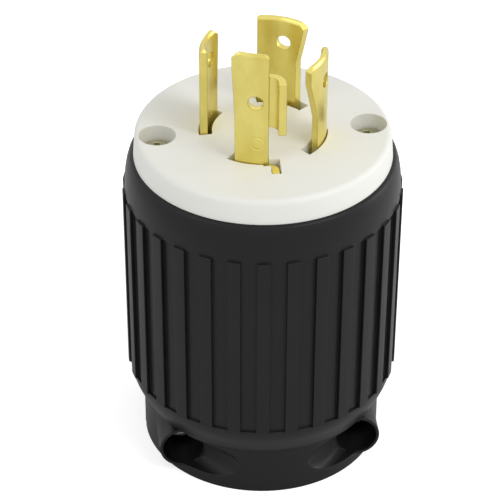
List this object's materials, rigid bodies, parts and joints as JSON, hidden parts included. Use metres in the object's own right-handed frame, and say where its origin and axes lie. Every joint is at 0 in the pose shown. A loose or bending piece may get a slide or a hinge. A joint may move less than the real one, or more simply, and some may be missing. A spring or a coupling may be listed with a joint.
{
  "type": "locking power plug",
  "caption": "Round locking power plug with four curved brass blades, a white nylon face, a ribbed black housing and a two-jaw cord clamp.",
  "frame": {"origin": "middle of the cord clamp's flat end face, on the plug's axis", "axes": "+Z along the plug's axis from the cord clamp to the blade tips; -Y is the side of the ground blade with its hook; X runs through the two face screws and the two clamp screws"},
  "size_m": [0.056, 0.056, 0.0966],
  "materials": {
    "white_nylon": "satin moulded nylon",
    "black_nylon": "satin moulded nylon",
    "inner_nylon": "satin moulded nylon",
    "blade_brass": "rolled brass with fine brushing",
    "insert_brass": "turned brass",
    "zinc_steel": "bright zinc plate",
    "plated_screw": "pale zinc plate",
    "green_screw": "green stained plate"
  },
  "bodies": {
    "root": {"ribbed_housing": "black_nylon", "white_body": "white_nylon", "blade_retainer": "inner_nylon", "retainer_screw": "zinc_steel", "ground_blade": "blade_brass", "neutral_blade": "blade_brass", "left_line_blade": "blade_brass", "right_line_blade": "blade_brass", "ground_pressure_plate": "insert_brass", "neutral_pressure_plate": "insert_brass", "left_pressure_plate": "insert_brass", "right_pressure_plate": "insert_brass", "ground_terminal_screw": "green_screw", "neutral_terminal_screw": "zinc_steel", "left_terminal_screw": "insert_brass", "right_terminal_screw": "insert_brass", "left_assembly_screw": "plated_screw", "right_assembly_screw": "plated_screw", "left_insert": "insert_brass", "right_insert": "insert_brass", "front_jaw": "black_nylon", "rear_jaw": "black_nylon", "left_clamp_screw": "zinc_steel", "right_clamp_screw": "zinc_steel", "left_clamp_nut": "zinc_steel", "right_clamp_nut": "zinc_steel"}
  },
  "joints": []
}
